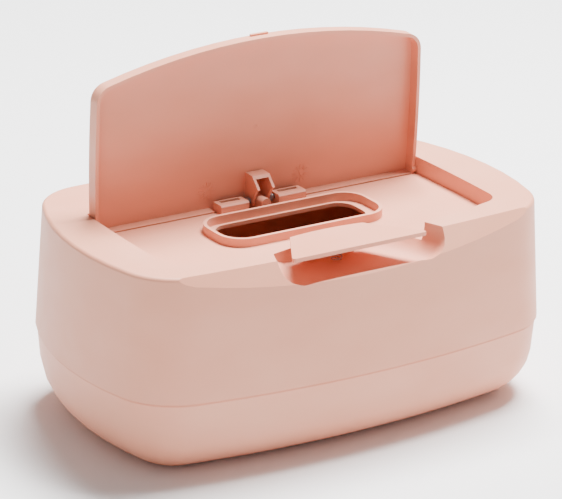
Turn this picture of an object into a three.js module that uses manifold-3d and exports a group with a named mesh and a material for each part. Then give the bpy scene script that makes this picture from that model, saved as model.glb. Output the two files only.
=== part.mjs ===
// Baby wipes box with a sprung flip-up lid, in millimetres, +Z up, front towards -Y.
// The origin is at the bottom centre, on the surface that the feet stand on.
import * as THREE from 'three';
import { mergeVertices } from 'three/addons/utils/BufferGeometryUtils.js';
import Module from 'manifold-3d';

const wasm = await Module();
wasm.setup();

// Body, overall
const BODY_WIDTH = 250;
const BODY_DEPTH = 158;
const SEAM_HEIGHT = 42;
const TOP_HEIGHT = 105;
const HOUSING_TAPER = 3.8;
const HOUSING_WALL = 2.2;
const TUB_WALL = 2.2;
const TUB_STEP = 0.8;
const TUB_DRAFT = 3.6;
const TUB_ROUND_HEIGHT = 25;
const TUB_ROUND_INSET = 28;
const FRONT_BOW_RADIUS = 524;
const SIDE_BOW_RADIUS = 153;
const BACK_BOW_RADIUS = 2004;
const FRONT_CORNER_RADIUS = 34;
const BACK_CORNER_RADIUS = 33.5;
const SIDE_BOW_CENTRE = -7;
const RIM_EDGE_RADIUS = 1.8;
const SEAM_GAP = 0.3;
const FIT_GAP = 0.3;

// Sloping facet along the front of the top
const FACET_EDGE_Y = -67.8;
const FACET_EDGE_RADIUS = 1198;
const FACET_SLOPE = THREE.MathUtils.degToRad(56.7);

// Recess in the top that the lid closes into
const RECESS_DEPTH = 9;
const RECESS_HALF_WIDTH = 95.6;
const RECESS_FRONT_Y = -59.9;
const RECESS_BACK_Y = 34.1;
const RECESS_FRONT_RADIUS = 342;
const RECESS_SIDE_RADIUS = 900;
const RECESS_BACK_RADIUS = 60000;
const RECESS_FRONT_CORNER = 10;
const RECESS_BACK_CORNER = 1.2;
const RECESS_SIDE_CENTRE = -10;
const DECK_THICKNESS = 2;
const TROUGH_DEPTH = 2;
const TROUGH_FRONT_Y = 25;

// Lid and its hinge
const HINGE_Y = 26.6;
const HINGE_HEIGHT = 98.2;
const LID_GAP = 0.8;
const LID_WALL = 1.8;
const LID_DEPTH = 7.9;
const LID_TOP_SINK = 0.1;
const LID_TAIL = 3.5;
const LID_EDGE_RADIUS = 1.8;
const LID_OPEN_ANGLE = THREE.MathUtils.degToRad(88.5);
const LID_BACK_NOTCH = 26;
const STUB_RADIUS = 1.9;
const STUB_REACH = 2.6;
const NIB_WIDTH = 10;
const NIB_HEIGHT = 1.6;
const NIB_REACH = 0.9;

// Horn on the lid's inner face, between the hinge blocks
const HORN_WIDTH = 10.1;
const HORN_WALL = 1.4;
const HORN_HEIGHT = 13.6;
const HORN_EYE_RADIUS = 2.7;

// Hinge blocks, centre tab and steel pin
const PIN_RADIUS = 1.2;
const PIN_LENGTH = 48.4;
const BLOCK_INNER = 8.8;
const BLOCK_OUTER = 25;
const BLOCK_FRONT_Y = 21;
const BLOCK_BACK_Y = 29;
const BLOCK_HEIGHT = 4.5;
const BLOCK_SLOT_END = 2.4;
const BLOCK_EDGE = 0.8;
const TAB_WIDTH = 5.5;
const TAB_FRONT_Y = 18.8;
const TAB_RADIUS = 2.75;
const WINDOW_FRONT_Y = 13;
const WINDOW_BACK_Y = 32.4;

// Torsion springs on the pin
const SPRING_WIRE = 0.7;
const SPRING_COIL_RADIUS = 1.95;
const SPRING_TURNS = 2.5;
const SPRING_LEG = 3;

// Wipes opening and the collar around it
const COLLAR_HALF_WIDTH = 46.9;
const COLLAR_FRONT_Y = -24.6;
const COLLAR_BACK_Y = 12;
const COLLAR_CORNER = 13.2;
const COLLAR_HEIGHT = 4.4;
const COLLAR_WALL = 1.8;
const OPENING_HALF_WIDTH = 40;
const OPENING_FRONT_Y = -17;
const OPENING_BACK_Y = 8.5;
const OPENING_CORNER = 9;

// Finger pocket under the button plate
const POCKET_FRONT_HALF = 47.4;
const POCKET_FRONT_Y = -65.3;
const POCKET_BACK_HALF = 36;
const POCKET_BACK_Y = -39.5;
const POCKET_BACK_RADIUS = 108;
const POCKET_BACK_REACH = 64;
const POCKET_SILL_HEIGHT = 94;
const POCKET_FLOOR_HEIGHT = 89;
const POCKET_CORNER = 14;
const POCKET_SILL_LENGTH = 9;
const POCKET_WALL = 2;

// Button plate, its pin and its spring
const PLATE_FRONT_HALF = 38.9;
const PLATE_BACK_HALF = 21;
const PLATE_FRONT_Y = -67.5;
const PLATE_BACK_Y = -35.2;
const PLATE_ABOVE_FLOOR = 13;
const PLATE_BACK_TOP = POCKET_FLOOR_HEIGHT + PLATE_ABOVE_FLOOR;
const PLATE_RISE = THREE.MathUtils.degToRad(4.25);
const PLATE_THICKNESS = 2;
const PLATE_BACK_GAP = 0.6;
const BUTTON_PIN_Y = -36.8;
const PIN_ABOVE_FLOOR = 6.5;
const BUTTON_PIN_HEIGHT = POCKET_FLOOR_HEIGHT + PIN_ABOVE_FLOOR;
const BUTTON_PIN_RADIUS = 1;
const BUTTON_EYE_RADIUS = 2.2;
const PLATE_LUG_INNER = 8;
const PLATE_LUG_WIDTH = 3;
const CARRIER_LUG_WIDTH = 3;
const LUG_GAP = 0.6;
const BUTTON_SPRING_Y = -46;
const BUTTON_SPRING_RADIUS = 2.6;
const BUTTON_SPRING_WIRE = 0.6;
const BUTTON_SPRING_TURNS = 5;

// Lip of the tub inside the housing, and the rubber feet
const LIP_HEIGHT = 5;
const LIP_WALL = 1.6;
const LIP_ROOT = 6;
const FOOT_RADIUS = 6;
const FOOT_HEIGHT = 1.5;
const FOOT_X = 68;
const FOOT_Y = 28;
const FOOT_PROUD = 0.8;
const FLOOR_WALL = 2.6;

// Far enough to cut right through
const FAR = 200;
const ARC_STEPS = 7;
const RIM_SHARES = [0.2, 0.4, 0.6, 0.8, 1];

const deckTop = TOP_HEIGHT - RECESS_DEPTH;
const deckBottom = deckTop - DECK_THICKNESS;
const troughFloor = deckTop - TROUGH_DEPTH;
const lidTop = TOP_HEIGHT - LID_TOP_SINK;
const lidBottom = lidTop - LID_DEPTH;
const lidFace = lidTop - LID_WALL;

const bodyPlan = {
  half: BODY_WIDTH / 2,
  front: -BODY_DEPTH / 2,
  back: BODY_DEPTH / 2,
  frontRadius: FRONT_BOW_RADIUS,
  sideRadius: SIDE_BOW_RADIUS,
  backRadius: BACK_BOW_RADIUS,
  frontCorner: FRONT_CORNER_RADIUS,
  backCorner: BACK_CORNER_RADIUS,
  sideCentre: SIDE_BOW_CENTRE,
};
const recessPlan = {
  half: RECESS_HALF_WIDTH,
  front: RECESS_FRONT_Y,
  back: RECESS_BACK_Y,
  frontRadius: RECESS_FRONT_RADIUS,
  sideRadius: RECESS_SIDE_RADIUS,
  backRadius: RECESS_BACK_RADIUS,
  frontCorner: RECESS_FRONT_CORNER,
  backCorner: RECESS_BACK_CORNER,
  sideCentre: RECESS_SIDE_CENTRE,
};
const lidPlan = {
  ...recessPlan,
  half: RECESS_HALF_WIDTH - LID_GAP,
  front: RECESS_FRONT_Y + LID_GAP,
  back: HINGE_Y + LID_TAIL,
  frontRadius: RECESS_FRONT_RADIUS - LID_GAP,
  sideRadius: RECESS_SIDE_RADIUS - LID_GAP,
  frontCorner: RECESS_FRONT_CORNER - LID_GAP,
};

// Materials
function plastic(color, roughness) {
  return new THREE.MeshStandardMaterial({ color, roughness, metalness: 0 });
}
const blushPlastic = '#e6b8a6';
const steel = '#b9b6ba';

// Where two circles meet; reach picks the meeting point that is furthest along (x, y)
function circlesMeet(first, firstRadius, second, secondRadius, reach) {
  const line = second.clone().sub(first);
  const distance = line.length();
  const along = (firstRadius ** 2 - secondRadius ** 2 + distance ** 2) / (2 * distance);
  const across = Math.sqrt(Math.max(firstRadius ** 2 - along ** 2, 0));
  line.divideScalar(distance);
  const side = new THREE.Vector2(-line.y, line.x);
  const middle = first.clone().addScaledVector(line, along);
  const one = middle.clone().addScaledVector(side, across);
  const other = middle.clone().addScaledVector(side, -across);
  return one.dot(reach) > other.dot(reach) ? one : other;
}

function arcBetween(centre, start, end, steps) {
  const radius = start.distanceTo(centre);
  const from = Math.atan2(start.y - centre.y, start.x - centre.x);
  let sweep = Math.atan2(end.y - centre.y, end.x - centre.x) - from;
  if (sweep < -Math.PI) sweep += 2 * Math.PI;
  if (sweep > Math.PI) sweep -= 2 * Math.PI;
  const points = [];
  for (let i = 0; i <= steps; i += 1) {
    const angle = from + (sweep * i) / steps;
    points.push(new THREE.Vector2(centre.x + radius * Math.cos(angle), centre.y + radius * Math.sin(angle)));
  }
  return points;
}

// Plan outline of four bowed sides and four round corners, counter-clockwise, moved in by inset
function bowedOutline(plan, inset = 0, steps = ARC_STEPS) {
  const front = new THREE.Vector2(0, plan.front + plan.frontRadius);
  const back = new THREE.Vector2(0, plan.back - plan.backRadius);
  const side = new THREE.Vector2(plan.half - plan.sideRadius, plan.sideCentre);
  const frontRadius = plan.frontRadius - inset;
  const backRadius = plan.backRadius - inset;
  const sideRadius = plan.sideRadius - inset;
  const frontCorner = Math.max(plan.frontCorner - inset, 0.3);
  const backCorner = Math.max(plan.backCorner - inset, 0.3);
  const towardsFront = new THREE.Vector2(1, -1);
  const towardsBack = new THREE.Vector2(1, 1);
  const frontCentre = circlesMeet(
    front,
    frontRadius - frontCorner,
    side,
    sideRadius - frontCorner,
    towardsFront,
  );
  const backCentre = circlesMeet(
    back,
    backRadius - backCorner,
    side,
    sideRadius - backCorner,
    towardsBack,
  );
  const pushed = (centre, corner, radius) => {
    const direction = corner.clone().sub(centre).normalize();
    return centre.clone().addScaledVector(direction, radius);
  };
  const frontEnd = pushed(front, frontCentre, frontRadius);
  const sideStart = pushed(side, frontCentre, sideRadius);
  const sideEnd = pushed(side, backCentre, sideRadius);
  const backEnd = pushed(back, backCentre, backRadius);
  const right = [
    ...arcBetween(front, new THREE.Vector2(0, front.y - frontRadius), frontEnd, steps),
    ...arcBetween(frontCentre, frontEnd, sideStart, steps).slice(1),
    ...arcBetween(side, sideStart, sideEnd, steps).slice(1),
    ...arcBetween(backCentre, sideEnd, backEnd, steps).slice(1),
    ...arcBetween(back, backEnd, new THREE.Vector2(0, back.y + backRadius), steps).slice(1),
  ];
  const left = right.slice(1, -1).reverse().map((p) => new THREE.Vector2(-p.x, p.y));
  return [...right, ...left];
}

// Rectangle with round corners, counter-clockwise
function roundedRectangle(half, front, back, corner, steps = ARC_STEPS) {
  const points = [];
  const centres = [
    [half - corner, back - corner, 0],
    [corner - half, back - corner, 90],
    [corner - half, front + corner, 180],
    [half - corner, front + corner, 270],
  ];
  for (const [x, y, start] of centres) {
    for (let i = 0; i <= steps; i += 1) {
      const angle = THREE.MathUtils.degToRad(start + (90 * i) / steps);
      points.push(new THREE.Vector2(x + corner * Math.cos(angle), y + corner * Math.sin(angle)));
    }
  }
  return points;
}

// Closed skin through loops of equal length, with a fan on each end
function skin(loops) {
  const count = loops[0].length;
  const positions = [];
  const indices = [];
  for (const loop of loops) for (const p of loop) positions.push(p.x, p.y, p.z);
  for (let k = 0; k + 1 < loops.length; k += 1) {
    for (let i = 0; i < count; i += 1) {
      const a = k * count + i;
      const b = k * count + ((i + 1) % count);
      indices.push(a, b, b + count, a, b + count, a + count);
    }
  }
  for (const [level, turned] of [[0, true], [loops.length - 1, false]]) {
    const centre = new THREE.Vector3();
    for (const p of loops[level]) centre.add(p);
    centre.divideScalar(count);
    const hub = positions.length / 3;
    positions.push(centre.x, centre.y, centre.z);
    for (let i = 0; i < count; i += 1) {
      const a = level * count + i;
      const b = level * count + ((i + 1) % count);
      if (turned) indices.push(hub, b, a);
      else indices.push(hub, a, b);
    }
  }
  const geometry = new THREE.BufferGeometry();
  geometry.setAttribute('position', new THREE.Float32BufferAttribute(positions, 3));
  geometry.setIndex(indices);
  return facingOut(geometry);
}

function signedVolume(geometry) {
  const position = geometry.getAttribute('position');
  const index = geometry.getIndex();
  const a = new THREE.Vector3();
  const b = new THREE.Vector3();
  const c = new THREE.Vector3();
  let volume = 0;
  for (let i = 0; i < index.count; i += 3) {
    a.fromBufferAttribute(position, index.getX(i));
    b.fromBufferAttribute(position, index.getX(i + 1));
    c.fromBufferAttribute(position, index.getX(i + 2));
    volume += a.dot(b.cross(c)) / 6;
  }
  return volume;
}

function facingOut(geometry) {
  if (signedVolume(geometry) < 0) geometry.setIndex(Array.from(geometry.getIndex().array).reverse());
  return geometry;
}

function toSolid(geometry) {
  const bare = geometry.clone();
  bare.deleteAttribute('normal');
  bare.deleteAttribute('uv');
  const merged = facingOut(mergeVertices(bare, 1e-5));
  return new wasm.Manifold(new wasm.Mesh({
    numProp: 3,
    vertProperties: new Float32Array(merged.getAttribute('position').array),
    triVerts: new Uint32Array(merged.getIndex().array),
  }));
}

function toGeometry(solid) {
  const mesh = solid.getMesh();
  const geometry = new THREE.BufferGeometry();
  geometry.setAttribute('position', new THREE.BufferAttribute(new Float32Array(mesh.vertProperties), 3));
  geometry.setIndex(new THREE.BufferAttribute(new Uint32Array(mesh.triVerts), 1));
  geometry.computeVertexNormals();
  return geometry;
}

function moved(solid, matrix) {
  const geometry = toGeometry(solid);
  geometry.applyMatrix4(matrix);
  return toSolid(geometry);
}

const shift = (x, y, z) => new THREE.Matrix4().makeTranslation(x, y, z);
const turnAboutX = (angle) => new THREE.Matrix4().makeRotationX(angle);

function joined(parts) {
  return parts.reduce((whole, part) => whole.add(part));
}

const atHeight = (points, z) => points.map((p) => new THREE.Vector3(p.x, p.y, z));

function prism(points, low, high) {
  return toSolid(skin([atHeight(points, low), atHeight(points, high)]));
}

// Profile given as [y, z] pairs, run along X
function barAlongX(profile, left, right) {
  const loop = (x) => profile.map(([y, z]) => new THREE.Vector3(x, y, z));
  return toSolid(skin([loop(left), loop(right)]));
}

function block(left, right, front, back, low, high) {
  const geometry = new THREE.BoxGeometry(right - left, back - front, high - low);
  geometry.translate((left + right) / 2, (front + back) / 2, (low + high) / 2);
  return toSolid(geometry);
}

function rodAlongX(radius, left, right, y, z, sides = 24) {
  const geometry = new THREE.CylinderGeometry(radius, radius, right - left, sides);
  geometry.rotateZ(Math.PI / 2);
  geometry.translate((left + right) / 2, y, z);
  return toSolid(geometry);
}

// Circle points in the YZ plane, from one angle to another in degrees, measured from +Y towards +Z
function eyeArc(y, z, radius, from, to, steps = 8) {
  const points = [];
  for (let i = 0; i <= steps; i += 1) {
    const angle = THREE.MathUtils.degToRad(from + ((to - from) * i) / steps);
    points.push([y + radius * Math.cos(angle), z + radius * Math.sin(angle)]);
  }
  return points;
}

// Upper housing's outside at a height: it leans in from the seam to the top
const housingInset = (z) => (HOUSING_TAPER * (z - SEAM_HEIGHT)) / (TOP_HEIGHT - SEAM_HEIGHT);

// Everything in front of the sloping facet, with its surface moved back by shift
function facetCutter(shift) {
  const reach = BODY_WIDTH;
  const steps = 20;
  const high = TOP_HEIGHT + RECESS_DEPTH;
  const low = SEAM_HEIGHT;
  const loop = (z) => {
    const lean = (TOP_HEIGHT - z) / Math.tan(FACET_SLOPE);
    const points = [new THREE.Vector3(reach / 2, -FAR, z)];
    for (let i = 0; i <= steps; i += 1) {
      const x = reach / 2 - (reach * i) / steps;
      const bow = FACET_EDGE_RADIUS - Math.sqrt(FACET_EDGE_RADIUS ** 2 - x ** 2);
      points.push(new THREE.Vector3(x, FACET_EDGE_Y + bow - lean + shift, z));
    }
    points.push(new THREE.Vector3(-reach / 2, -FAR, z));
    return points;
  };
  return toSolid(skin([loop(low), loop(high)]));
}

// Half width of the finger pocket at a place along Y
function pocketHalf(y) {
  const share = Math.min((y - POCKET_BACK_Y) / (POCKET_FRONT_Y - POCKET_BACK_Y), 1);
  return POCKET_BACK_HALF + (POCKET_FRONT_HALF - POCKET_BACK_HALF) * share;
}

const pocketBackY = (x, out = 0) => {
  const apex = POCKET_BACK_Y + POCKET_BACK_HALF ** 2 / (2 * POCKET_BACK_RADIUS) + out;
  return apex - x ** 2 / (2 * POCKET_BACK_RADIUS);
};

// Height of the pocket's floor along Y: a flat floor with a rounded sill at the front
function pocketFloor(y) {
  const sillY = FACET_EDGE_Y - (TOP_HEIGHT - POCKET_SILL_HEIGHT) / Math.tan(FACET_SLOPE);
  const share = THREE.MathUtils.clamp((sillY + POCKET_SILL_LENGTH - y) / POCKET_SILL_LENGTH, 0, 1);
  const rise = POCKET_SILL_HEIGHT - POCKET_FLOOR_HEIGHT;
  return POCKET_FLOOR_HEIGHT + rise * (1 - Math.sqrt(1 - share ** 2));
}

// Finger pocket: a scoop with round lower corners, wider at the front, with a bowed back wall
function pocketSolid(grow) {
  const stations = [-90, -75.2, -74.6, -73.6, -72, -69, -66, -55, -30];
  const high = TOP_HEIGHT + RECESS_DEPTH;
  const steps = 6;
  const loops = stations.map((y) => {
    const half = pocketHalf(y) + grow;
    const low = pocketFloor(y) - grow;
    const corner = POCKET_CORNER + grow;
    const points = [new THREE.Vector3(half, y, high), new THREE.Vector3(-half, y, high)];
    for (let i = 0; i <= steps; i += 1) {
      const angle = THREE.MathUtils.degToRad(180 + (90 * i) / steps);
      const x = corner - half + corner * Math.cos(angle);
      points.push(new THREE.Vector3(x, y, low + corner + corner * Math.sin(angle)));
    }
    for (let i = 0; i <= steps; i += 1) {
      const angle = THREE.MathUtils.degToRad(270 + (90 * i) / steps);
      const x = half - corner + corner * Math.cos(angle);
      points.push(new THREE.Vector3(x, y, low + corner + corner * Math.sin(angle)));
    }
    return points;
  });
  const along = toSolid(skin(loops));
  const endY = pocketBackY(POCKET_BACK_REACH, grow);
  const plan = [
    new THREE.Vector2(-FAR, -FAR),
    new THREE.Vector2(FAR, -FAR),
    new THREE.Vector2(FAR, endY),
  ];
  const backSteps = 16;
  for (let i = 0; i <= backSteps; i += 1) {
    const x = POCKET_BACK_REACH - (2 * POCKET_BACK_REACH * i) / backSteps;
    plan.push(new THREE.Vector2(x, pocketBackY(x, grow)));
  }
  plan.push(new THREE.Vector2(-FAR, endY));
  return along.intersect(prism(plan, 0, FAR));
}

// Solid block that the trough under the open lid is cut into
function troughSolid(grow) {
  const low = troughFloor - grow;
  const behind = block(-FAR, FAR, TROUGH_FRONT_Y - grow, FAR, low - 1, TOP_HEIGHT);
  return prism(bowedOutline(recessPlan, -grow), low, deckTop + 1).intersect(behind);
}

function hingeBlock(sign) {
  const low = troughFloor - 1;
  const high = deckTop + BLOCK_HEIGHT;
  const profile = [
    [BLOCK_FRONT_Y, low],
    [BLOCK_BACK_Y, low],
    [BLOCK_BACK_Y, high],
    [BLOCK_FRONT_Y + BLOCK_EDGE, high],
    [BLOCK_FRONT_Y, high - BLOCK_EDGE],
  ];
  const left = sign > 0 ? BLOCK_INNER : -BLOCK_OUTER;
  const right = sign > 0 ? BLOCK_OUTER : -BLOCK_INNER;
  const slot = PIN_RADIUS + FIT_GAP / 2;
  const slotLeft = left + BLOCK_SLOT_END;
  const slotRight = right - BLOCK_SLOT_END;
  return barAlongX(profile, left, right)
    .subtract(block(slotLeft, slotRight, HINGE_Y - slot, HINGE_Y + slot, HINGE_HEIGHT, high + 1));
}

function centreTab() {
  const low = troughFloor - DECK_THICKNESS;
  const half = TAB_WIDTH / 2;
  const back = WINDOW_BACK_Y + DECK_THICKNESS / 2;
  const loop = (y) => {
    const points = [new THREE.Vector3(-half, y, low), new THREE.Vector3(half, y, low)];
    for (let i = 0; i <= 8; i += 1) {
      const angle = (Math.PI * i) / 8;
      const z = HINGE_HEIGHT + TAB_RADIUS * Math.sin(angle);
      points.push(new THREE.Vector3(TAB_RADIUS * Math.cos(angle), y, z));
    }
    return points;
  };
  const head = toSolid(skin([loop(TAB_FRONT_Y), loop(BLOCK_BACK_Y)]));
  const web = block(-half, half, WINDOW_FRONT_Y - 0.6, back, low, troughFloor - 0.2);
  return head.add(web);
}

function buttonBore(reach) {
  return rodAlongX(BUTTON_PIN_RADIUS + FIT_GAP, -reach, reach, BUTTON_PIN_Y, BUTTON_PIN_HEIGHT);
}

function buttonCarrier() {
  const inner = PLATE_LUG_INNER + PLATE_LUG_WIDTH + LUG_GAP;
  const outer = inner + CARRIER_LUG_WIDTH;
  const low = POCKET_FLOOR_HEIGHT - 1;
  const profile = [
    [BUTTON_PIN_Y - BUTTON_EYE_RADIUS, low],
    [pocketBackY(0) + POCKET_WALL / 4, low],
    [pocketBackY(0) + POCKET_WALL / 4, BUTTON_PIN_HEIGHT + BUTTON_EYE_RADIUS],
    ...eyeArc(BUTTON_PIN_Y, BUTTON_PIN_HEIGHT, BUTTON_EYE_RADIUS, 90, 180),
  ];
  return barAlongX(profile, inner, outer).add(barAlongX(profile, -outer, -inner));
}

function upperHousing() {
  const rimLow = TOP_HEIGHT - RIM_EDGE_RADIUS;
  const outside = [
    atHeight(bowedOutline(bodyPlan, 0), SEAM_HEIGHT + SEAM_GAP),
    atHeight(bowedOutline(bodyPlan, housingInset(rimLow)), rimLow),
  ];
  for (const share of RIM_SHARES) {
    const angle = (share * Math.PI) / 2;
    const z = TOP_HEIGHT - RIM_EDGE_RADIUS * (1 - Math.sin(angle));
    const inset = housingInset(z) + RIM_EDGE_RADIUS * (1 - Math.cos(angle));
    outside.push(atHeight(bowedOutline(bodyPlan, inset), z));
  }
  const hollowTop = TOP_HEIGHT - HOUSING_WALL;
  const hollow = toSolid(skin([
    atHeight(bowedOutline(bodyPlan, HOUSING_WALL), SEAM_HEIGHT - 1),
    atHeight(bowedOutline(bodyPlan, HOUSING_WALL + housingInset(hollowTop)), hollowTop),
  ]));
  const facetBack = HOUSING_WALL / Math.sin(FACET_SLOPE);
  const recess = prism(bowedOutline(recessPlan, 0), deckTop, TOP_HEIGHT + RECESS_DEPTH);
  const recessWalls = prism(bowedOutline(recessPlan, -HOUSING_WALL), deckBottom, TOP_HEIGHT);
  const pocket = pocketSolid(0);
  const pocketWalls = pocketSolid(POCKET_WALL);
  const inside = hollow
    .subtract(facetCutter(facetBack))
    .subtract(recessWalls)
    .subtract(pocketWalls)
    .subtract(troughSolid(DECK_THICKNESS));
  const collarOutside = roundedRectangle(COLLAR_HALF_WIDTH, COLLAR_FRONT_Y, COLLAR_BACK_Y, COLLAR_CORNER);
  const collarInside = roundedRectangle(
    COLLAR_HALF_WIDTH - COLLAR_WALL,
    COLLAR_FRONT_Y + COLLAR_WALL,
    COLLAR_BACK_Y - COLLAR_WALL,
    COLLAR_CORNER - COLLAR_WALL,
  );
  const collar = prism(collarOutside, deckTop - DECK_THICKNESS / 2, deckTop + COLLAR_HEIGHT)
    .subtract(prism(collarInside, deckTop, FAR));
  const opening = roundedRectangle(OPENING_HALF_WIDTH, OPENING_FRONT_Y, OPENING_BACK_Y, OPENING_CORNER);
  const socketReach = RECESS_HALF_WIDTH + HOUSING_WALL + 1;
  const pinSpan = PIN_LENGTH / 2 + FIT_GAP;
  const buttonSpan = PLATE_LUG_INNER + PLATE_LUG_WIDTH + LUG_GAP + CARRIER_LUG_WIDTH - 0.6 + FIT_GAP;
  const front = toSolid(skin(outside)).subtract(facetCutter(0));
  return front
    .subtract(recess)
    .subtract(troughSolid(0))
    .subtract(inside)
    .add(collar)
    .subtract(prism(opening, 0, FAR))
    .subtract(block(-BLOCK_INNER, BLOCK_INNER, WINDOW_FRONT_Y, WINDOW_BACK_Y, 0, deckTop + 1))
    .add(hingeBlock(1))
    .add(hingeBlock(-1))
    .add(centreTab())
    .subtract(pocket)
    .add(buttonCarrier())
    .subtract(rodAlongX(STUB_RADIUS + FIT_GAP, -socketReach, -RECESS_HALF_WIDTH + 3, HINGE_Y, HINGE_HEIGHT))
    .subtract(rodAlongX(STUB_RADIUS + FIT_GAP, RECESS_HALF_WIDTH - 3, socketReach, HINGE_Y, HINGE_HEIGHT))
    .subtract(rodAlongX(PIN_RADIUS + FIT_GAP, -pinSpan, pinSpan, HINGE_Y, HINGE_HEIGHT))
    .subtract(buttonBore(buttonSpan));
}

// Lower tub: straight wall down from the seam, then a deep round into the flat floor
function tubInset(z) {
  const draft = TUB_STEP + (TUB_DRAFT * (SEAM_HEIGHT - z)) / SEAM_HEIGHT;
  if (z >= TUB_ROUND_HEIGHT) return draft;
  const fall = 1 - z / TUB_ROUND_HEIGHT;
  return draft + TUB_ROUND_INSET * (1 - Math.sqrt(1 - fall ** 2));
}

function tubLoops(wall, low, high) {
  const heights = [low];
  for (const share of [0.02, 0.08, 0.18, 0.32, 0.5, 0.72, 1]) {
    const z = low + share * (TUB_ROUND_HEIGHT - low);
    heights.push(z);
  }
  heights.push(high);
  const raise = wall ? FLOOR_WALL : 0;
  return heights.map((z) => atHeight(bowedOutline(bodyPlan, tubInset(Math.max(z - raise, 0)) + wall), z));
}

function lowerTub() {
  const outside = toSolid(skin(tubLoops(0, FOOT_PROUD, SEAM_HEIGHT)));
  const inside = toSolid(skin(tubLoops(TUB_WALL, FOOT_PROUD + FLOOR_WALL, SEAM_HEIGHT + 1)));
  const lipOut = HOUSING_WALL + FIT_GAP + 0.1;
  const lipLow = SEAM_HEIGHT - LIP_ROOT;
  const lipHigh = SEAM_HEIGHT + LIP_HEIGHT;
  const lip = prism(bowedOutline(bodyPlan, lipOut), lipLow, lipHigh)
    .subtract(prism(bowedOutline(bodyPlan, lipOut + LIP_WALL), lipLow - 1, lipHigh + 1));
  let tub = outside.subtract(inside).add(lip);
  for (const [x, y] of footPlaces()) {
    tub = tub.subtract(moved(footSolid(FOOT_RADIUS + FIT_GAP, FOOT_HEIGHT + FIT_GAP), shift(x, y, 0)));
  }
  return tub;
}

function footPlaces() {
  return [[-FOOT_X, -FOOT_Y], [FOOT_X, -FOOT_Y], [-FOOT_X, FOOT_Y], [FOOT_X, FOOT_Y]];
}

function footSolid(radius, height) {
  const geometry = new THREE.CylinderGeometry(radius, radius, height, 32);
  geometry.rotateX(Math.PI / 2);
  geometry.translate(0, 0, height / 2);
  return toSolid(geometry);
}

// Rubber foot: a low disc with a small chamfer on its lower edge
function footGeometry() {
  const edge = 0.4;
  const profile = [
    new THREE.Vector2(0, 0),
    new THREE.Vector2(FOOT_RADIUS - edge, 0),
    new THREE.Vector2(FOOT_RADIUS, edge),
    new THREE.Vector2(FOOT_RADIUS, FOOT_HEIGHT),
    new THREE.Vector2(0, FOOT_HEIGHT),
  ];
  const geometry = new THREE.LatheGeometry(profile, 32);
  geometry.rotateX(Math.PI / 2);
  return toGeometry(toSolid(geometry));
}

// Lid, drawn closed; the horn's profile is drawn open, as [y, z] from the hinge axis
function hornProfile() {
  const face = lidFace - HINGE_HEIGHT + 0.4;
  return [
    [face, HORN_HEIGHT],
    [-1.6, HORN_HEIGHT],
    [-7.4, 8],
    [-5.2, 6.2],
    [-HORN_EYE_RADIUS, 1],
    ...eyeArc(0, 0, HORN_EYE_RADIUS, 180, 300, 6).slice(1),
    [face, -1.5],
  ];
}

function horn() {
  const half = HORN_WIDTH / 2;
  const full = barAlongX(hornProfile(), -half, half);
  const face = lidFace - HINGE_HEIGHT;
  const inner = block(-half + HORN_WALL, half - HORN_WALL, -FAR, face, -FAR, HORN_HEIGHT - HORN_WALL);
  const bore = rodAlongX(PIN_RADIUS + FIT_GAP, -half - 1, half + 1, 0, 0);
  return full.subtract(inner).subtract(bore);
}

function lidSolid() {
  const outside = [
    atHeight(bowedOutline(lidPlan, 0), lidBottom),
    atHeight(bowedOutline(lidPlan, 0), lidTop - LID_EDGE_RADIUS),
  ];
  for (const share of RIM_SHARES) {
    const angle = (share * Math.PI) / 2;
    const z = lidTop - LID_EDGE_RADIUS * (1 - Math.sin(angle));
    outside.push(atHeight(bowedOutline(lidPlan, LID_EDGE_RADIUS * (1 - Math.cos(angle))), z));
  }
  const half = sideHalf(HINGE_Y) - LID_GAP;
  const stubs = [1, -1].map((sign) => {
    const inner = sign * (half - LID_WALL);
    const outer = sign * (half + STUB_REACH);
    return rodAlongX(STUB_RADIUS, Math.min(inner, outer), Math.max(inner, outer), HINGE_Y, HINGE_HEIGHT);
  });
  const nibTop = lidTop - LID_EDGE_RADIUS;
  const nibFront = RECESS_FRONT_Y + LID_GAP - NIB_REACH;
  const nibBack = nibFront + NIB_REACH + 1;
  const nib = block(-NIB_WIDTH / 2, NIB_WIDTH / 2, nibFront, nibBack, nibTop - NIB_HEIGHT, nibTop);
  const closed = toSolid(skin(outside))
    .subtract(prism(bowedOutline(lidPlan, LID_WALL), 0, lidFace))
    .subtract(block(-LID_BACK_NOTCH, LID_BACK_NOTCH, HINGE_Y - LID_TAIL, FAR, 0, lidFace))
    .add(joined(stubs))
    .add(nib);
  const upright = turnAboutX(-Math.PI / 2).multiply(shift(0, -HINGE_Y, -HINGE_HEIGHT));
  return moved(closed, upright).add(horn());
}

function sideHalf(y) {
  return RECESS_HALF_WIDTH - (y - RECESS_SIDE_CENTRE) ** 2 / (2 * RECESS_SIDE_RADIUS);
}

function pinGeometry(radius, length, sides) {
  const edge = 0.25;
  const profile = [
    new THREE.Vector2(0, -length / 2),
    new THREE.Vector2(radius - edge, -length / 2),
    new THREE.Vector2(radius, -length / 2 + edge),
    new THREE.Vector2(radius, length / 2 - edge),
    new THREE.Vector2(radius - edge, length / 2),
    new THREE.Vector2(0, length / 2),
  ];
  const geometry = new THREE.LatheGeometry(profile, sides);
  geometry.rotateZ(Math.PI / 2);
  return toGeometry(toSolid(geometry));
}

// Wire along a path through points, as a round bar
function wireGeometry(points, diameter, stepCount) {
  const path = new THREE.CatmullRomCurve3(points, false, 'centripetal');
  const section = new THREE.Shape();
  section.absarc(0, 0, diameter / 2, 0, 2 * Math.PI, false);
  const geometry = new THREE.ExtrudeGeometry(section, {
    steps: stepCount,
    extrudePath: path,
    curveSegments: 3,
    bevelEnabled: false,
  });
  return toGeometry(toSolid(geometry));
}

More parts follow.
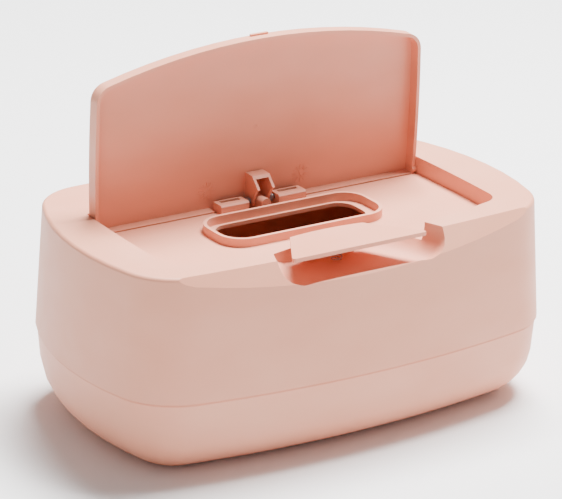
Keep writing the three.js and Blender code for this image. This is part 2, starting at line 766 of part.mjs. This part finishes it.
// Torsion spring on the hinge pin, with one leg up beside the horn and one down into the window
function torsionSpringGeometry(sign) {
  const points = [];
  const steps = Math.round(SPRING_TURNS * 12);
  const start = HORN_WIDTH / 2 + FIT_GAP + SPRING_WIRE / 2 + 0.1;
  const pitch = SPRING_WIRE + 0.12;
  points.push(new THREE.Vector3(sign * start, -SPRING_COIL_RADIUS, SPRING_LEG));
  points.push(new THREE.Vector3(sign * start, -SPRING_COIL_RADIUS, SPRING_LEG / 2));
  for (let i = 0; i <= steps; i += 1) {
    const turn = i / 12;
    const angle = Math.PI + 2 * Math.PI * turn;
    points.push(new THREE.Vector3(
      sign * (start + pitch * turn),
      SPRING_COIL_RADIUS * Math.cos(angle),
      SPRING_COIL_RADIUS * Math.sin(angle),
    ));
  }
  const end = start + pitch * SPRING_TURNS;
  points.push(new THREE.Vector3(sign * end, SPRING_COIL_RADIUS, SPRING_LEG / 2));
  points.push(new THREE.Vector3(sign * end, SPRING_COIL_RADIUS, SPRING_LEG));
  return wireGeometry(points, SPRING_WIRE, 60);
}

// Height of the button plate's underside along Y: the plate rises a little towards the front
const plateUnderside = (y) => PLATE_BACK_TOP - PLATE_THICKNESS + (PLATE_BACK_Y - y) * Math.tan(PLATE_RISE);

// Button plate: a tapering plate with a bowed back edge, carried by two lugs on the button pin
function buttonPlateSolid() {
  const corner = 2.5;
  const outline = new THREE.Shape();
  const backEnd = pocketBackY(PLATE_BACK_HALF, -PLATE_BACK_GAP);
  outline.moveTo(-PLATE_FRONT_HALF + corner, PLATE_FRONT_Y);
  outline.lineTo(PLATE_FRONT_HALF - corner, PLATE_FRONT_Y);
  const cornerX = PLATE_FRONT_HALF - 0.4 * corner;
  outline.quadraticCurveTo(PLATE_FRONT_HALF, PLATE_FRONT_Y, cornerX, PLATE_FRONT_Y + corner);
  outline.lineTo(PLATE_BACK_HALF, backEnd);
  const steps = 12;
  for (let i = 1; i <= steps; i += 1) {
    const x = PLATE_BACK_HALF - (2 * PLATE_BACK_HALF * i) / steps;
    outline.lineTo(x, pocketBackY(x, -PLATE_BACK_GAP));
  }
  outline.lineTo(-PLATE_FRONT_HALF + 0.4 * corner, PLATE_FRONT_Y + corner);
  outline.quadraticCurveTo(-PLATE_FRONT_HALF, PLATE_FRONT_Y, -PLATE_FRONT_HALF + corner, PLATE_FRONT_Y);
  const points = outline.getPoints(4).slice(0, -1);
  const tilt = shift(0, PLATE_BACK_Y, PLATE_BACK_TOP)
    .multiply(turnAboutX(-PLATE_RISE))
    .multiply(shift(0, -PLATE_BACK_Y, -PLATE_BACK_TOP));
  const plate = moved(prism(points, PLATE_BACK_TOP - PLATE_THICKNESS, PLATE_BACK_TOP), tilt);
  const lugTop = plateUnderside(BUTTON_PIN_Y) + 0.6;
  const eye = eyeArc(BUTTON_PIN_Y, BUTTON_PIN_HEIGHT, BUTTON_EYE_RADIUS, 180, 360);
  const lugBack = BUTTON_PIN_Y + BUTTON_EYE_RADIUS;
  const profile = [[BUTTON_PIN_Y - BUTTON_EYE_RADIUS - 3, lugTop], ...eye, [lugBack, lugTop]];
  const inner = PLATE_LUG_INNER;
  const outer = PLATE_LUG_INNER + PLATE_LUG_WIDTH;
  return plate
    .add(barAlongX(profile, inner, outer))
    .add(barAlongX(profile, -outer, -inner))
    .subtract(buttonBore(outer + 1));
}

// Compression spring between the pocket's floor and the button plate
function buttonSpringGeometry() {
  const low = POCKET_FLOOR_HEIGHT + FIT_GAP + BUTTON_SPRING_WIRE / 2;
  const lowestOver = plateUnderside(BUTTON_SPRING_Y + BUTTON_SPRING_RADIUS + BUTTON_SPRING_WIRE / 2);
  const high = lowestOver - FIT_GAP - BUTTON_SPRING_WIRE / 2;
  const steps = BUTTON_SPRING_TURNS * 10;
  const points = [];
  for (let i = 0; i <= steps; i += 1) {
    const angle = (2 * Math.PI * i) / 10;
    const z = low + ((high - low) * i) / steps;
    const x = BUTTON_SPRING_RADIUS * Math.cos(angle);
    points.push(new THREE.Vector3(x, BUTTON_SPRING_Y + BUTTON_SPRING_RADIUS * Math.sin(angle), z));
  }
  return wireGeometry(points, BUTTON_SPRING_WIRE, steps);
}

function mesh(name, geometry, material) {
  const made = new THREE.Mesh(geometry, material);
  made.name = name;
  return made;
}

const box = new THREE.Group();

box.add(mesh('lower_tub', toGeometry(lowerTub()), plastic(blushPlastic, 0.55)));
box.add(mesh('upper_housing', toGeometry(upperHousing()), plastic(blushPlastic, 0.55)));

// The lid group stands at the hinge axis, leaning a little forward from upright
const lidGroup = new THREE.Group();
lidGroup.position.set(0, HINGE_Y, HINGE_HEIGHT);
lidGroup.rotation.x = Math.PI / 2 - LID_OPEN_ANGLE;
lidGroup.add(mesh('lid', toGeometry(lidSolid()), plastic(blushPlastic, 0.5)));
box.add(lidGroup);

const steelFinish = () => new THREE.MeshStandardMaterial({ color: steel, roughness: 0.35, metalness: 1 });
const hingePin = mesh('hinge_pin', pinGeometry(PIN_RADIUS, PIN_LENGTH, 24), steelFinish());
hingePin.position.set(0, HINGE_Y, HINGE_HEIGHT);
box.add(hingePin);
for (const [sign, side] of [[-1, 'left'], [1, 'right']]) {
  const spring = mesh(`lid_spring_${side}`, torsionSpringGeometry(sign), steelFinish());
  spring.position.set(0, HINGE_Y, HINGE_HEIGHT);
  box.add(spring);
}

box.add(mesh('button_plate', toGeometry(buttonPlateSolid()), plastic(blushPlastic, 0.5)));
const buttonPinLength = 2 * (PLATE_LUG_INNER + PLATE_LUG_WIDTH + LUG_GAP + CARRIER_LUG_WIDTH - 0.6);
const buttonPin = mesh('button_pin', pinGeometry(BUTTON_PIN_RADIUS, buttonPinLength, 20), steelFinish());
buttonPin.position.set(0, BUTTON_PIN_Y, BUTTON_PIN_HEIGHT);
box.add(buttonPin);
box.add(mesh('button_spring', buttonSpringGeometry(), steelFinish()));

footPlaces().forEach(([x, y], i) => {
  const names = ['foot_front_left', 'foot_front_right', 'foot_back_left', 'foot_back_right'];
  const foot = mesh(names[i], footGeometry(), plastic('#d9d2cd', 0.8));
  foot.position.set(x, y, 0);
  box.add(foot);
});

export default box;
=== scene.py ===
# Baby wipes box in moulded blush-pink plastic, lid open, on a pale studio floor.
import math
import bmesh
import bpy
from mathutils import Matrix, Vector


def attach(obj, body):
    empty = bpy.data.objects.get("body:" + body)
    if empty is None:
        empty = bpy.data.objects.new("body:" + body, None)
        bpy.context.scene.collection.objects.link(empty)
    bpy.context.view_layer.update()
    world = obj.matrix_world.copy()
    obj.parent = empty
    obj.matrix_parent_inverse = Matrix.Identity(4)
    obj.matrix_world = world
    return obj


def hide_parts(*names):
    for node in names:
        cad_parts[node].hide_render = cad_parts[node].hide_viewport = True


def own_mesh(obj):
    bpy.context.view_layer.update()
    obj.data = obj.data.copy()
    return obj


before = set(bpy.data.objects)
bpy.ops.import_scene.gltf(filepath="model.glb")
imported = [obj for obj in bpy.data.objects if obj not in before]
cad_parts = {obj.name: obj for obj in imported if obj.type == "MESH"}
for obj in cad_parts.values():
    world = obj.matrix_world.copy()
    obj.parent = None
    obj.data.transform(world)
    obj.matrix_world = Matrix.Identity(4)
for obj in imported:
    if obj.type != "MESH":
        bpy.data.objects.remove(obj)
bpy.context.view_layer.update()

MM = 0.001

# Hinge axis of the lid, how far the open lid leans forward from upright, and its inner face behind the axis
HINGE = Vector((0, 26.6, 98.2)) * MM
LID_LEAN = math.radians(1.5)
LID_FACE = 4.9 * MM

# Height of the seam between tub and housing, and how far from it an edge still counts as one of its edges
SEAM_HEIGHT = 42.1 * MM
SEAM_BAND = 0.6 * MM

# An edge that turns by more degrees than this is an edge of the moulding, not a step of a curve
MOULDED_EDGE = 24

# Rounding of the sharp edges in millimetres: tub, lid and plate, then the housing, the feet, the tub's shoulder
SHELL_EDGE = 0.35
HOUSING_EDGE = 0.4
FOOT_EDGE = 0.2
SHOULDER_EDGE = 1.0


def linear(code):
    """Linear colour of an sRGB hex code such as #e3b09c."""
    values = [int(code[i:i + 2], 16) / 255 for i in (1, 3, 5)]
    return [v / 12.92 if v <= 0.04045 else ((v + 0.055) / 1.055) ** 2.4 for v in values] + [1]


def add_node(tree, kind, settings=None, **links):
    """Adds a node, sets its own settings and its sockets, and links sockets given as (node, output)."""
    node = tree.nodes.new(kind)
    for key, value in (settings or {}).items():
        setattr(node, key, value)
    for key, value in links.items():
        numbered = key[0] == "i" and key[1:].isdigit()
        socket = node.inputs[int(key[1:])] if numbered else node.inputs[key.replace("_", " ")]
        if isinstance(value, tuple) and len(value) == 2 and hasattr(value[0], "outputs"):
            tree.links.new(value[0].outputs[value[1]], socket)
        else:
            socket.default_value = value
    return node


def blank_material(name):
    material = bpy.data.materials.new(name)
    material.use_nodes = True
    material.node_tree.nodes.clear()
    return material, material.node_tree


def moulded_polypropylene(name, base, shade, roughness):
    """Polypropylene from an etched mould: even colour, soft wide highlight, a fine matte grain. The grain is
    about 0.1 mm across, drawn at 0.5 mm so that it shows, with slow flow marks tens of millimetres long."""
    material, tree = blank_material(name)
    place = add_node(tree, "ShaderNodeTexCoord")
    flow_place = add_node(tree, "ShaderNodeMapping", Vector=(place, "Object"), Scale=(1.0, 1.0, 2.2))
    # Flow marks: 45 mm long swells of barely darker plastic
    flow = add_node(tree, "ShaderNodeTexNoise", Vector=(flow_place, "Vector"), Scale=22.0, Detail=2.0,
                    Roughness=0.4)
    tint = add_node(tree, "ShaderNodeMapRange", Value=(flow, 0), From_Min=0.3, From_Max=0.7, To_Min=0.0,
                    To_Max=1.0)
    colour = add_node(tree, "ShaderNodeMix", {"data_type": "RGBA"}, i0=(tint, 0), i6=linear(shade),
                      i7=linear(base))
    # Etched grain at 0.5 mm
    grain = add_node(tree, "ShaderNodeTexNoise", Vector=(place, "Object"), Scale=2000.0, Detail=2.0,
                     Roughness=0.6)
    # Handling polish: 12 mm patches, slightly smoother
    polish = add_node(tree, "ShaderNodeTexNoise", Vector=(place, "Object"), Scale=80.0, Detail=3.0,
                      Roughness=0.5)
    rough = add_node(tree, "ShaderNodeMapRange", Value=(polish, 0), From_Min=0.25, From_Max=0.75,
                     To_Min=roughness - 0.05, To_Max=roughness + 0.06)
    bump = add_node(tree, "ShaderNodeBump", Strength=0.12, Distance=0.00006, Height=(grain, 0))
    shader = add_node(tree, "ShaderNodeBsdfPrincipled", Base_Color=(colour, 2), Roughness=(rough, 0), IOR=1.49,
                      Normal=(bump, 0), Subsurface_Weight=0.06, Subsurface_Scale=0.002)
    # Light that enters the plastic comes out redder
    shader.inputs["Subsurface Radius"].default_value = (1.0, 0.55, 0.4)
    add_node(tree, "ShaderNodeOutputMaterial", Surface=(shader, 0))
    return material


def drawn_spring_steel(name):
    """Cold-drawn spring steel: grey metal with lengthwise drawing lines 0.15 mm apart."""
    material, tree = blank_material(name)
    place = add_node(tree, "ShaderNodeTexCoord")
    along = add_node(tree, "ShaderNodeMapping", Vector=(place, "Object"), Scale=(400.0, 6500.0, 6500.0))
    lines = add_node(tree, "ShaderNodeTexNoise", Vector=(along, "Vector"), Scale=1.0, Detail=2.0)
    rough = add_node(tree, "ShaderNodeMapRange", Value=(lines, 0), To_Min=0.28, To_Max=0.46)
    colour = add_node(tree, "ShaderNodeMix", {"data_type": "RGBA"}, i0=(lines, 0), i6=linear("#8f8b8e"),
                      i7=linear("#b9b5b6"))
    bump = add_node(tree, "ShaderNodeBump", Strength=0.2, Distance=0.00002, Height=(lines, 0))
    shader = add_node(tree, "ShaderNodeBsdfPrincipled", Base_Color=(colour, 2), Roughness=(rough, 0),
                      Metallic=1.0, Normal=(bump, 0))
    add_node(tree, "ShaderNodeOutputMaterial", Surface=(shader, 0))
    return material


def moulded_rubber(name):
    """Compression-moulded rubber: dull, pale, with a dusty speckle about 0.8 mm across."""
    material, tree = blank_material(name)
    place = add_node(tree, "ShaderNodeTexCoord")
    speckle = add_node(tree, "ShaderNodeTexNoise", Vector=(place, "Object"), Scale=1250.0, Detail=3.0)
    colour = add_node(tree, "ShaderNodeMix", {"data_type": "RGBA"}, i0=(speckle, 0), i6=linear("#cbbfb8"),
                      i7=linear("#ddd4ce"))
    bump = add_node(tree, "ShaderNodeBump", Strength=0.25, Distance=0.00008, Height=(speckle, 0))
    shader = add_node(tree, "ShaderNodeBsdfPrincipled", Base_Color=(colour, 2), Roughness=0.82, IOR=1.52,
                      Normal=(bump, 0))
    add_node(tree, "ShaderNodeOutputMaterial", Surface=(shader, 0))
    return material


body_plastic = moulded_polypropylene("blush polypropylene, etched mould", "#e49d82", "#e0977b", 0.5)
lid_plastic = moulded_polypropylene("blush polypropylene, smooth lid", "#e39b80", "#de9478", 0.45)
wire_steel = drawn_spring_steel("drawn spring steel")
foot_rubber = moulded_rubber("pale moulded rubber")


def finish_piece(bm, name, material, body, sharp=MOULDED_EDGE):
    """Makes the bmesh a shown piece: smooth faces, sharp edges kept, riding on its body."""
    for face in bm.faces:
        face.smooth = True
    mesh = bpy.data.meshes.new(name)
    bm.to_mesh(mesh)
    bm.free()
    mesh.set_sharp_from_angle(angle=math.radians(sharp))
    mesh.materials.append(material)
    piece = bpy.data.objects.new(name, mesh)
    bpy.context.scene.collection.objects.link(piece)
    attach(piece, body)
    return piece


def round_edges(bm, edges, radius):
    """Rounds the given edges by a radius in millimetres."""
    bmesh.ops.bevel(bm, geom=edges, offset=radius * MM, offset_type="OFFSET", segments=2, profile=0.5,
                    affect="EDGES", clamp_overlap=True, material=-1)


def moulding_from(node, name, material, body, fillet):
    """The moulding as made: flat faces joined up, and every sharp edge given the small radius a mould has."""
    bm = bmesh.new()
    bm.from_mesh(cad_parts[node].data)
    bmesh.ops.remove_doubles(bm, verts=bm.verts, dist=0.004 * MM)
    bmesh.ops.dissolve_limit(bm, angle_limit=math.radians(0.6), verts=bm.verts, edges=bm.edges)
    sharp = [e for e in bm.edges
             if len(e.link_faces) == 2 and e.calc_face_angle(0) > math.radians(MOULDED_EDGE)]
    # The edges that meet at the seam are left out here, so that the seam reads as one thin dark line
    at_seam = [e for e in sharp if all(abs(v.co.z - SEAM_HEIGHT) < SEAM_BAND for v in e.verts)]
    rounded = [e for e in sharp if e not in set(at_seam)]
    round_edges(bm, rounded, fillet)
    # The tub's shoulder is rounded off under the housing, which opens the groove that the seam shows as
    shoulder = [e for e in at_seam if e.is_valid and e.is_convex and node == "lower_tub"]
    if shoulder:
        round_edges(bm, shoulder, SHOULDER_EDGE)
    bmesh.ops.triangulate(bm, faces=[f for f in bm.faces if len(f.verts) > 4])
    piece = finish_piece(bm, name, material, body)
    weighted = piece.modifiers.new("even shading", "WEIGHTED_NORMAL")
    weighted.keep_sharp = True
    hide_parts(node)


moulding_from("lower_tub", "tub_moulding", body_plastic, "tub", SHELL_EDGE)
moulding_from("upper_housing", "housing_moulding", body_plastic, "housing", HOUSING_EDGE)
moulding_from("lid", "lid_moulding", lid_plastic, "lid", SHELL_EDGE)
moulding_from("button_plate", "plate_moulding", lid_plastic, "button", SHELL_EDGE)

# The two steel pins are plain rods, shown as built
for node in ("hinge_pin", "button_pin"):
    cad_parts[node].data.materials.clear()
    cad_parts[node].data.materials.append(wire_steel)
for node in ("foot_front_left", "foot_front_right", "foot_back_left", "foot_back_right"):
    moulding_from(node, node + "_pad", foot_rubber, "tub", FOOT_EDGE)

# Spring wire: sides round the wire, steps in each turn, and the turn in degrees that still shades as round
WIRE_SIDES = 12
STEPS_PER_TURN = 28
WIRE_EDGE = 60

# The springs in millimetres: radius of the coil, thickness of the wire, turns, and length along the axis
LID_SPRING = {"radius": 1.95, "wire": 0.7, "turns": 2.5, "rise": 2.05}
BUTTON_SPRING = {"radius": 2.6, "wire": 0.6, "turns": 5, "rise": 10.2}


def coil(name, node, start, axis, radius, wire, turns, rise):
    """Round wire wound into a coil by a spin that also moves along its axis."""
    bm = bmesh.new()
    steps = int(turns * STEPS_PER_TURN)
    ring = bmesh.ops.create_circle(bm, cap_ends=True, segments=WIRE_SIDES, radius=wire / 2 * MM)
    centre = Vector(start) * MM
    direction = Vector(axis).normalized()
    across = Vector((0, -1, 0)) if abs(direction.x) > 0.5 else Vector((1, 0, 0))
    turn = direction.cross(across).to_track_quat("Z", "Y").to_matrix().to_4x4()
    at_start = Matrix.Translation(centre + across * radius * MM) @ turn
    bmesh.ops.transform(bm, matrix=at_start, verts=ring["verts"])
    geometry = bm.faces[:] + bm.edges[:] + bm.verts[:]
    bmesh.ops.spin(bm, geom=geometry, cent=centre, axis=direction, dvec=direction * (rise * MM / steps),
                   angle=2 * math.pi * turns, steps=steps, use_merge=False, use_duplicate=False)
    bmesh.ops.recalc_face_normals(bm, faces=bm.faces)
    piece = finish_piece(bm, name, wire_steel, "housing", WIRE_EDGE)
    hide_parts(node)
    return piece


for sign, side in ((-1, "left"), (1, "right")):
    coil("lid_spring_coil_" + side, "lid_spring_" + side, (sign * 5.8, 26.6, 98.2), (sign, 0, 0), **LID_SPRING)
press_spring = coil("button_spring_coil", "button_spring", (0, -46, 89.6), (0, 0, 1), **BUTTON_SPRING)
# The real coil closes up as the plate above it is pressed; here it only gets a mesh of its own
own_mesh(press_spring)


def on_lid(bm):
    """From the lid's face, with x across, y up the face and z out of it, to the open lid."""
    face = Matrix.Translation(HINGE) @ Matrix.Rotation(LID_LEAN, 4, "X") @ Matrix.Translation((0, LID_FACE, 0))
    bmesh.ops.transform(bm, matrix=face @ Matrix.Rotation(math.radians(90), 4, "X"), verts=bm.verts)


def bar_on_face(bm, size, spot):
    """A small raised bar, moved to its spot on the lid's face."""
    bar = bmesh.ops.create_cube(bm, size=1.0)["verts"]
    bmesh.ops.transform(bm, matrix=spot @ Matrix.Diagonal((*(v * MM for v in size), 1)), verts=bar)


# Mould mark in millimetres: ticks as length, width and height, on a ring, and one pointer across its middle
TICKS = 12
TICK = (2.2, 0.42, 0.5)
TICK_RING = 3.6
POINTER = (3.6, 0.6, 0.5)
MARK_MIDDLE = 0.1


def moulding_mark(name, x, up, turn):
    """Plain round mould mark: a ring of raised ticks and a pointer, and no lettering."""
    bm = bmesh.new()
    for k in range(TICKS):
        out = Matrix.Translation((TICK_RING * MM, 0, MARK_MIDDLE * MM))
        bar_on_face(bm, TICK, Matrix.Rotation(math.radians(360 / TICKS * k), 4, "Z") @ out)
    middle = Matrix.Translation((0, 0, MARK_MIDDLE * MM))
    bar_on_face(bm, POINTER, Matrix.Rotation(math.radians(turn), 4, "Z") @ middle)
    bmesh.ops.translate(bm, vec=Vector((x, up, 0)) * MM, verts=bm.verts)
    on_lid(bm)
    finish_piece(bm, name, lid_plastic, "lid", 30)


moulding_mark("lid_mark_left", -27.5, 7.5, 35)
moulding_mark("lid_mark_right", 27.5, 7.5, 110)

# Gate witness: the small round scar where the plastic entered the lid's mould
gate = bmesh.new()
bmesh.ops.create_cone(gate, cap_ends=True, segments=32, radius1=1.5 * MM, radius2=1.2 * MM, depth=0.3 * MM)
bmesh.ops.translate(gate, vec=Vector((0, 37, 0)) * MM, verts=gate.verts)
on_lid(gate)
finish_piece(gate, "lid_gate_scar", lid_plastic, "lid", 50)

# Floor: one plain pale sheet
floor_mesh = bmesh.new()
bmesh.ops.create_grid(floor_mesh, x_segments=2, y_segments=2, size=6.0)
sheet = bpy.data.meshes.new("floor")
floor_mesh.to_mesh(sheet)
floor_mesh.free()
floor = bpy.data.objects.new("floor", sheet)
bpy.context.scene.collection.objects.link(floor)
floor_material, tree = blank_material("white paper sweep")
paper = add_node(tree, "ShaderNodeBsdfPrincipled", Base_Color=linear("#fafafa"), Roughness=0.9)
add_node(tree, "ShaderNodeOutputMaterial", Surface=(paper, 0))
sheet.materials.append(floor_material)

# Studio: pale surround, one wide softbox overhead towards the back, one low fill from the front left
SURROUND = 0.32
world = bpy.data.worlds.new("studio")
bpy.context.scene.world = world
world.use_nodes = True
world.node_tree.nodes["Background"].inputs["Color"].default_value = (1, 1, 1, 1)
world.node_tree.nodes["Background"].inputs["Strength"].default_value = SURROUND


def softbox(name, place, size, power):
    """A soft rectangular lamp, turned to the middle of the box."""
    data = bpy.data.lights.new(name, "AREA")
    data.shape = "RECTANGLE"
    data.size, data.size_y = size
    data.energy = power
    lamp = bpy.data.objects.new(name, data)
    bpy.context.scene.collection.objects.link(lamp)
    lamp.location = place
    lamp.rotation_euler = (Vector((0, 0, 0.08)) - Vector(place)).to_track_quat("-Z", "Y").to_euler()


softbox("overhead", (0.45, 0.22, 1.5), (0.9, 0.5), 118)
softbox("front_fill", (-0.9, -1.3, 0.9), (1.0, 0.8), 1.5)

# Camera: long lens from the front left, looking a little down. Distance and aim height in metres
AZIMUTH = math.radians(-32.59)
ELEVATION = math.radians(20.96)
ROLL = math.radians(1.07)
DISTANCE = 1.76415
AIM_HEIGHT = 0.07323
back = Vector((math.sin(AZIMUTH) * math.cos(ELEVATION), -math.cos(AZIMUTH) * math.cos(ELEVATION),
               math.sin(ELEVATION)))
across = Vector((math.cos(AZIMUTH), math.sin(AZIMUTH), 0))
up = back.cross(across)
right_edge = across * math.cos(ROLL) + up * math.sin(ROLL)
top_edge = up * math.cos(ROLL) - across * math.sin(ROLL)
lens = bpy.data.cameras.new("camera")
lens.lens = 226.62
lens.sensor_width = 36
lens.shift_x = -0.00835
lens.shift_y = 0.0222
lens.clip_start = 0.05
camera = bpy.data.objects.new("camera", lens)
bpy.context.scene.collection.objects.link(camera)
turn = Matrix((right_edge, top_edge, back)).transposed().to_4x4()
camera.matrix_world = Matrix.Translation(back * DISTANCE + Vector((0, 0, AIM_HEIGHT))) @ turn
bpy.context.scene.camera = camera
